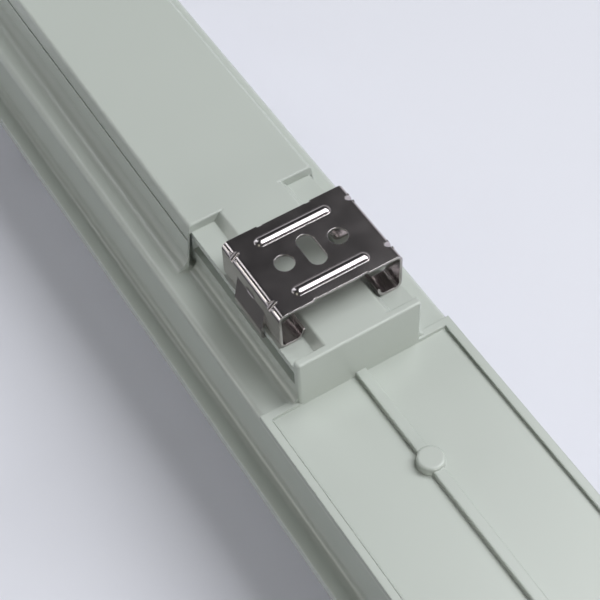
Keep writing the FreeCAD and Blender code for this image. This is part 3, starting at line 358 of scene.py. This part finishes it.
class Surface:
    """Closed patches over two parameters, worked out as whole arrays and joined in one mesh."""

    MERGE: ClassVar[float] = 1e-7
    UPRIGHT: ClassVar[float] = 0.9

    @classmethod
    def beads(cls, starts: np.ndarray, ends: np.ndarray, radius: float, around: int = 12,
              cap: int = 5) -> np.ndarray:
        """Thin rods with a half ball at each end.

        A point is the rod's start or end, plus radius x sin(tilt) along the rod, plus radius x cos(tilt)
        outwards at the angle round it. Tilt runs from -90 to 0 degrees at the start and on to 90 at the end.

        Args:
            starts: start of each rod, one row each.
            ends: end of each rod.
            radius: radius of the rods.
            around: points round a rod.
            cap: rings in each half ball.

        Returns:
            Points as rods x rings x points round x 3.
        """
        along = ends - starts
        along /= np.linalg.norm(along, axis=1, keepdims=True)
        helper = np.where(np.abs(along[:, 2:3]) > cls.UPRIGHT, [[0.0, 1.0, 0.0]], [[0.0, 0.0, 1.0]])
        first = np.cross(along, helper)
        first /= np.linalg.norm(first, axis=1, keepdims=True)
        second = np.cross(along, first)
        tilt = np.concatenate([np.linspace(-np.pi / 2, 0, cap), np.linspace(0, np.pi / 2, cap)])
        base = np.concatenate([np.repeat(starts[:, None], cap, 1), np.repeat(ends[:, None], cap, 1)], 1)
        turn = np.arange(around) * 2 * np.pi / around
        cosine, sine = np.cos(turn)[:, None], np.sin(turn)[:, None]
        out = first[:, None, None] * cosine + second[:, None, None] * sine
        spine = base + radius * np.sin(tilt)[:, None] * along[:, None]
        return spine[:, :, None] + radius * np.cos(tilt)[:, None, None] * out

    @staticmethod
    def domes(centres: np.ndarray, radius: float, height: float, around: int = 12,
              rings: int = 5) -> np.ndarray:
        """Shallow drops that hang below flat discs.

        A point stands radius x share out from the centre and height x (1 - share squared) below the disc.
        A last ring of no width closes the disc.

        Args:
            centres: middle of each disc, one row each.
            radius: radius of a disc.
            height: depth of a drop.
            around: points round a drop.
            rings: rings from its tip to its edge.

        Returns:
            Points as drops x rings x points round x 3.
        """
        share = np.append(np.linspace(0.0, 1.0, rings), 0.0)
        below = np.append(height * (1 - share[:-1] ** 2), 0.0)
        turn = np.arange(around) * 2 * np.pi / around
        rim = np.stack([np.cos(turn), np.sin(turn), np.zeros(around)], -1)
        offset = radius * share[:, None, None] * rim - below[:, None, None] * np.array([0.0, 0.0, 1.0])
        return centres[:, None, None] + offset

    @staticmethod
    def volume(points: np.ndarray, quads: np.ndarray) -> float:
        """Six times the signed volume: triple products of each quad's two triangles about the middle.

        Args:
            points: corner points, one row each.
            quads: corner numbers of each quad.

        Returns:
            A number above nought where the quads face outwards.
        """
        a, b, c, d = (points[quads[:, k]] - points.mean(0) for k in range(4))
        return float((np.cross(a, b) * c + np.cross(a, c) * d).sum())

    @classmethod
    def build(cls, name: str, patches: np.ndarray, finish: bpy.types.Material, slot: str,
              body: str) -> bpy.types.Object:
        """Join the patches, face them outwards and make a piece of them.

        Args:
            name: the piece's name.
            patches: points as patches x rings x points round x 3.
            finish: its material.
            slot: the record's slot that it belongs to; not used.
            body: body that it moves with.

        Returns:
            The piece.
        """
        index = np.arange(patches[..., 0].size).reshape(patches.shape[:3])
        low, high = index[:, :-1], index[:, 1:]
        quads = np.stack([low, high, np.roll(high, -1, 2), np.roll(low, -1, 2)], -1).reshape(-1, 4)
        points = patches.reshape(-1, 3)
        if cls.volume(points, quads) < 0:
            quads = quads[:, ::-1]
        mesh = bpy.data.meshes.new(name)
        mesh.from_pydata(points.tolist(), [], quads.tolist())
        joined = bmesh.new()
        joined.from_mesh(mesh)
        bmesh.ops.remove_doubles(joined, verts=joined.verts, dist=cls.MERGE)
        joined.to_mesh(mesh)
        joined.free()
        mesh.polygons.foreach_set("use_smooth", np.ones(len(mesh.polygons), bool))
        mesh.materials.append(finish)
        piece = bpy.data.objects.new(name, mesh)
        bpy.context.scene.collection.objects.link(piece)
        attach(piece, body)
        log.info("%s rides on %s", name, body)
        return piece


@dataclass(frozen=True)
class MouldLines:
    """Fine lines that the mould leaves on the grey shell."""

    wall_start: float = 197.6 * MM
    wall_end: float = 331.0 * MM
    wall_side: float = 20.40 * MM
    wall_height: float = 70.0 * MM
    wall_radius: float = 0.22 * MM
    rim_reach: float = 141.0 * MM
    rim_side: float = 27.50 * MM
    rim_height: float = 59.02 * MM
    rim_radius: float = 0.28 * MM

    def build(self, made: Finished) -> None:
        """Make the parting line on the raised walls and the lip inside the panel's rim.

        Args:
            made: materials by finish name.
        """
        signs = np.array([(end, side) for end in (-1.0, 1.0) for side in (-1.0, 1.0)])
        height = np.full(len(signs), self.wall_height)
        starts = np.stack([signs[:, 0] * self.wall_start, signs[:, 1] * self.wall_side, height], -1)
        ends = np.stack([signs[:, 0] * self.wall_end, signs[:, 1] * self.wall_side, height], -1)
        Surface.build("parting_lines", Surface.beads(starts, ends, self.wall_radius), made["housing_plastic"],
                      "housing_plastic", "fitting")
        starts = np.array([(-self.rim_reach, side * self.rim_side, self.rim_height) for side in (-1.0, 1.0)])
        ends = starts * np.array([-1.0, 1.0, 1.0])
        Surface.build("panel_lips", Surface.beads(starts, ends, self.rim_radius), made["housing_plastic"],
                      "housing_plastic", "fitting")


@dataclass(frozen=True)
class LatchRibs:
    """Two upright ribs pressed in the leg of each latch, beside its thumb tab."""

    count: int = 6
    leg_face: float = 40.08 * MM
    sunk: float = 0.25 * MM
    radius: float = 0.5 * MM
    offset: float = 6.1 * MM
    low: float = 32.9 * MM
    high: float = 36.6 * MM

    def build(self, made: Finished) -> None:
        """Make the ribs of every latch, on the latch's own body.

        Args:
            made: materials by finish name.
        """
        for number in range(1, self.count + 1):
            corners = np.array(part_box(f"latch_{number}"))
            middle = corners.mean(0)
            side = np.sign(middle[1]) * (self.leg_face - self.sunk)
            starts = np.array([(middle[0] + shift, side, self.low) for shift in (-self.offset, self.offset)])
            ends = starts + np.array([0.0, 0.0, self.high - self.low])
            Surface.build(f"latch_ribs_{number}", Surface.beads(starts, ends, self.radius),
                          made["stainless_steel"], "stainless_steel", f"latch_{number}")


@dataclass(frozen=True)
class PhosphorGel:
    """Yellow gel over each light chip of the board."""

    count: int = 48
    half_length: float = 278.6 * MM
    chip_face: float = 18.6 * MM
    radius: float = 1.1 * MM
    height: float = 0.25 * MM

    def build(self, made: Finished) -> None:
        """Make the drops of gel, on the lamp's body.

        Args:
            made: materials by finish name.
        """
        pitch = 2 * self.half_length / self.count
        along = (np.arange(self.count) + 0.5) * pitch - self.half_length
        centres = np.stack([along, np.zeros(self.count), np.full(self.count, self.chip_face)], -1)
        Surface.build("phosphor_gel", Surface.domes(centres, self.radius, self.height), made["phosphor_gel"],
                      "board_white", "lamp")


@dataclass(frozen=True)
class Softbox:
    """A square area lamp that looks at the fitting."""

    name: str
    azimuth_deg: float
    elevation_deg: float
    distance: float
    size: float
    power: float
    colour: Colour = (1.0, 1.0, 1.0)

    def build(self, aim: Vector) -> None:
        """Place the lamp.

        Args:
            aim: point it looks at.
        """
        turn, rise = math.radians(self.azimuth_deg), math.radians(self.elevation_deg)
        towards = Vector((math.cos(turn) * math.cos(rise), math.sin(turn) * math.cos(rise), math.sin(rise)))
        data = bpy.data.lights.new(self.name, "AREA")
        data.size = self.size
        data.energy = self.power
        data.color = self.colour
        lamp = bpy.data.objects.new(self.name, data)
        bpy.context.scene.collection.objects.link(lamp)
        lamp.location = aim + towards * self.distance
        lamp.rotation_euler = (-towards).to_track_quat("-Z", "Y").to_euler()


@dataclass(frozen=True)
class ReflectionShadeCard:
    """A dark card on the floor that only reflections see: a painted dark reflection in the steel and the
    glossy shell, unseen by the camera, by diffuse light and by shadows.
    """

    low: tuple[float, float] = (-0.36, -0.17)
    high: tuple[float, float] = (0.30, -0.052)
    lift: float = 1.0 * MM
    grey: float = 0.10
    roughness: float = 0.9

    def build(self) -> None:
        """Lay the card for the painted dark reflection along the front of the fitting."""
        (x0, y0), (x1, y1) = self.low, self.high
        corners = [(x0, y0, self.lift), (x1, y0, self.lift), (x1, y1, self.lift), (x0, y1, self.lift)]
        mesh = bpy.data.meshes.new("painted_reflection_card")
        mesh.from_pydata(corners, [], [(0, 1, 2, 3)])
        card = bpy.data.objects.new("painted_reflection_card", mesh)
        bpy.context.scene.collection.objects.link(card)
        g = NodeGraph("painted_reflection_grey")
        g.shader.inputs["Base Color"].default_value = (self.grey, self.grey, self.grey, 1.0)
        g.shader.inputs["Roughness"].default_value = self.roughness
        mesh.materials.append(g.material)
        # Hidden from the camera, diffuse light and shadows, the card only paints a dark reflection into
        # glossy finishes.
        card.visible_camera = False
        card.visible_diffuse = False
        card.visible_shadow = False
        card.visible_transmission = False


@dataclass
class Studio:
    """Pale floor, soft lamps and the camera at the photograph's angle."""

    floor_colour: Colour = (0.76, 0.767, 0.825)
    floor_half: float = 6.0
    floor_roughness: float = 0.7
    floor_specular: float = 0.2
    floor_fade: tuple[float, float] = (0.55, 1.35)
    sky: float = 0.02
    backdrop: float = 0.8
    backdrop_colour: Colour = (0.95, 0.96, 1.0)
    horizon: tuple[float, float] = (0.30, 0.08)
    eye: Point = (55.5 * MM, -129.6 * MM, 411.1 * MM)
    target: Point = (-159.5 * MM, -7.3 * MM, 76.0 * MM)
    roll_deg: float = 2.73
    focal_px: float = 1595.3
    picture_px: float = 600.0
    sensor_mm: float = 36.0
    clip_range: tuple[float, float] = (0.01, 50.0)
    lamps: list[Softbox] = field(default_factory=lambda: [
        Softbox("key_high", 72.0, 65.0, 1.6, 0.9, 17.0, (0.97, 0.98, 1.0)),
        Softbox("key_low", 68.0, 42.0, 1.6, 0.5, 6.5, (0.97, 0.98, 1.0)),
        Softbox("back_high", 115.0, 60.0, 1.6, 0.5, 2.5, (0.97, 0.98, 1.0)),
        Softbox("fill_front", 298.0, 42.0, 1.6, 0.5, 1.0, (1.0, 1.0, 0.82)),
        Softbox("fill_right", -2.0, 14.0, 1.6, 0.5, 6.8, (1.0, 1.0, 0.97)),
        Softbox("low_left", 200.0, 20.0, 1.6, 0.5, 2.6, (0.93, 0.96, 1.0)),
        Softbox("side_low", 245.0, 9.0, 1.6, 0.5, 2.6, (1.0, 1.0, 0.94)),
        Softbox("bend_glow", 210.0, 44.0, 1.6, 0.4, 1.6, (0.95, 0.96, 1.0)),
    ])

    def build(self) -> None:
        """Make the floor, the world, the lamps and the camera."""
        self.floor()
        self.world()
        for lamp in self.lamps:
            lamp.build(Vector(self.target))
        # Painted dark reflection for the steel and the glossy shell, seen by nothing else.
        ReflectionShadeCard().build()
        self.camera()

    def floor(self) -> None:
        """Flat square under the fitting, in one plain colour that fades into the backdrop far off."""
        half = self.floor_half
        mesh = bpy.data.meshes.new("floor")
        mesh.from_pydata([(-half, -half, 0), (half, -half, 0), (half, half, 0), (-half, half, 0)], [],
                         [(0, 1, 2, 3)])
        plane = bpy.data.objects.new("floor", mesh)
        bpy.context.scene.collection.objects.link(plane)
        g = NodeGraph("floor_paper")
        g.shader.inputs["Base Color"].default_value = (*self.floor_colour, 1.0)
        g.shader.inputs["Roughness"].default_value = self.floor_roughness
        g.shader.inputs["Specular IOR Level"].default_value = self.floor_specular
        tree = g.material.node_tree
        away = g.add("VectorMath", Vector=g.place())
        away.operation = "LENGTH"
        fade = self.stretch(tree, away.outputs["Value"], self.floor_fade, (0.0, 1.0))
        glow = g.add("Emission", Color=(*self.backdrop_colour, 1.0), Strength=self.backdrop)
        mixed = g.add("MixShader", Fac=self.times(tree, fade, self.looking(tree)))
        g.links.new(g.shader.outputs["BSDF"], mixed.inputs[1])
        g.links.new(glow.outputs["Emission"], mixed.inputs[2])
        g.links.new(mixed.outputs["Shader"], g.output.inputs["Surface"])
        mesh.materials.append(g.material)

    def world(self) -> None:
        """Dark room round the lamps, but pale to the camera and, near the horizon, to mirrors and glass."""
        world = bpy.data.worlds.new("studio")
        bpy.context.scene.world = world
        world.use_nodes = True
        tree = world.node_tree
        back = tree.nodes["Background"]
        back.inputs["Color"].default_value = (*self.backdrop_colour, 1.0)
        parts = tree.nodes.new("ShaderNodeSeparateXYZ")
        tree.links.new(tree.nodes.new("ShaderNodeTexCoord").outputs["Generated"], parts.inputs["Vector"])
        low = self.stretch(tree, parts.outputs["Z"], self.horizon, (0.0, 1.0))
        camera_ray = tree.nodes.new("ShaderNodeLightPath").outputs["Is Camera Ray"]
        mirrored = self.times(tree, low, self.looking(tree))
        seen = self.join(tree, "MAXIMUM", camera_ray, mirrored)
        level = self.stretch(tree, seen, (0.0, 1.0), (self.sky, self.backdrop))
        tree.links.new(level, back.inputs["Strength"])

    @staticmethod
    def join(tree: bpy.types.NodeTree, operation: str, first: bpy.types.NodeSocket,
             second: bpy.types.NodeSocket) -> bpy.types.NodeSocket:
        """Join two values with one operation of the Math node.

        Args:
            tree: node tree to add to.
            operation: MULTIPLY, MAXIMUM or the like.
            first: first value.
            second: second value.

        Returns:
            The result.
        """
        node = tree.nodes.new("ShaderNodeMath")
        node.operation = operation
        tree.links.new(first, node.inputs[0])
        tree.links.new(second, node.inputs[1])
        return node.outputs[0]

    def times(self, tree: bpy.types.NodeTree, first: bpy.types.NodeSocket,
              second: bpy.types.NodeSocket) -> bpy.types.NodeSocket:
        """Product of two values."""
        return self.join(tree, "MULTIPLY", first, second)

    def looking(self, tree: bpy.types.NodeTree) -> bpy.types.NodeSocket:
        """One for a ray from the camera, a mirror or a clear piece, and nought for light on a matt skin."""
        path = tree.nodes.new("ShaderNodeLightPath").outputs
        mirrored = self.join(tree, "MAXIMUM", path["Is Glossy Ray"], path["Is Transmission Ray"])
        return self.join(tree, "MAXIMUM", path["Is Camera Ray"], mirrored)

    @staticmethod
    def stretch(tree: bpy.types.NodeTree, value: bpy.types.NodeSocket, source: tuple[float, float],
                target: tuple[float, float]) -> bpy.types.NodeSocket:
        """Map a value from one range onto another, held at both ends.

        Args:
            tree: node tree to add to.
            value: the value.
            source: range that it runs over.
            target: range that it is mapped onto.

        Returns:
            The mapped value.
        """
        node = tree.nodes.new("ShaderNodeMapRange")
        tree.links.new(value, node.inputs[0])
        for index, number in enumerate((*source, *target), start=1):
            node.inputs[index].default_value = number
        return node.outputs[0]

    def camera(self) -> None:
        """Camera by its place, the point it looks at and a small roll."""
        forward = (Vector(self.target) - Vector(self.eye)).normalized()
        level = forward.cross(Vector((0, 0, 1))).normalized()
        down = forward.cross(level)
        roll = math.radians(self.roll_deg)
        right = level * math.cos(roll) + down * math.sin(roll)
        data = bpy.data.cameras.new("photo_camera")
        data.sensor_width = self.sensor_mm
        data.lens = self.focal_px / self.picture_px * self.sensor_mm
        data.clip_start, data.clip_end = self.clip_range
        camera = bpy.data.objects.new("photo_camera", data)
        bpy.context.scene.collection.objects.link(camera)
        up = -forward.cross(right)
        turn = Matrix((right, up, -forward)).transposed()
        camera.matrix_world = Matrix.Translation(Vector(self.eye)) @ turn.to_4x4()
        bpy.context.scene.camera = camera
        bpy.context.scene.view_settings.view_transform = "Standard"


def main() -> None:
    """Build the looks in order."""
    logging.basicConfig(level=logging.INFO, format="%(name)s: %(message)s")
    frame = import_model()
    made = make_finishes()
    dress_solids(frame, made)
    for detail in (MouldLines(), LatchRibs(), PhosphorGel()):
        detail.build(made)
    Studio().build()


if __name__ == "__main__":
    main()
